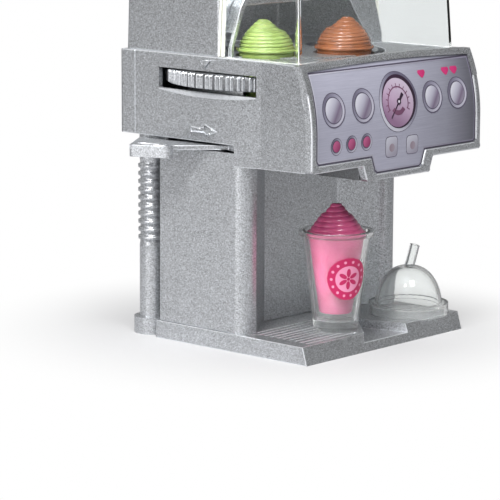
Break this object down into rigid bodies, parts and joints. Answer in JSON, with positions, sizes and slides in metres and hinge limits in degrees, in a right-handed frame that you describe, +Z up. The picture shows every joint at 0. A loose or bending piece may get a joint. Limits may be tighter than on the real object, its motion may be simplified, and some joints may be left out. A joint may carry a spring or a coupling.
{
  "type": "toy coffee maker",
  "caption": "Toy coffee maker with a thumb wheel carousel under a clear hopper, a dispensing lever, a drip tray, a cup and a domed lid.",
  "frame": {"origin": "middle of the base's underside, halfway between its sides, 41.4 mm behind its front edge", "axes": "+X to the machine's right seen from the front, -Y to the front, +Z up"},
  "size_m": [0.0897, 0.0784, 0.113],
  "materials": {
    "silver_plastic": "satin plastic with a fine metal flake",
    "inner_plastic": "plain satin grey plastic",
    "label_print": "printed film with a brushed metal look",
    "clear_plastic": "clear glossy plastic",
    "green_plastic": "glossy lime green plastic",
    "brown_plastic": "glossy caramel brown plastic",
    "pink_plastic": "glossy pink plastic",
    "screw_steel": "zinc plated steel"
  },
  "bodies": {
    "machine": {"base_tray": "silver_plastic", "base_plate": "silver_plastic", "front_shell": "silver_plastic", "tower_back_cover": "silver_plastic", "head_top": "silver_plastic", "rear_cover": "silver_plastic", "front_fascia": "silver_plastic", "panel_label": "label_print", "drop_deck": "inner_plastic", "chute": "silver_plastic", "spindle": "inner_plastic", "spindle_cap": "silver_plastic", "lever_pin": "screw_steel", "rear_column_left": "silver_plastic", "rear_column_right": "silver_plastic", "hopper_cover": "clear_plastic", "bulkhead": "silver_plastic", "hood": "silver_plastic", "base_screws": "screw_steel", "tower_cover_screws": "screw_steel", "rear_cover_screws": "screw_steel", "deck_screws": "screw_steel"},
    "carousel": {"carousel": "silver_plastic", "pocket_sleeves": "silver_plastic", "drum_skirt": "silver_plastic", "thumb_ring": "silver_plastic", "drink_green": "green_plastic"},
    "brown_drink": {"drink_brown": "brown_plastic"},
    "lever": {"dispense_lever": "silver_plastic", "gate_arm": "inner_plastic"},
    "cup": {"cup": "clear_plastic"},
    "pink_drink": {"drink_pink": "pink_plastic"},
    "lid": {"dome_lid": "clear_plastic"}
  },
  "joints": [
    {"name": "carousel_turn", "type": "hinge", "parent": "machine", "child": "carousel", "pos_m": [-0.0038, -0.0032, 0.075], "axis": [0, 0, 1], "continuous": true},
    {"name": "brown_drink_lift", "type": "slide", "parent": "carousel", "child": "brown_drink", "axis": [0, 0, 1], "range_m": [0, 0.014]},
    {"name": "lever_swing", "type": "hinge", "parent": "machine", "child": "lever", "pos_m": [-0.0295, -0.0105, 0.0605], "axis": [0, 0, 1], "range_deg": [0, 28]},
    {"name": "cup_slide", "type": "slide", "parent": "machine", "child": "cup", "axis": [0, -1, 0], "range_m": [0, 0.06]},
    {"name": "pink_drink_lift", "type": "slide", "parent": "cup", "child": "pink_drink", "axis": [0, 0, 1], "range_m": [0, 0.008]},
    {"name": "lid_slide", "type": "slide", "parent": "machine", "child": "lid", "axis": [0, -1, 0], "range_m": [0, 0.06]}
  ]
}
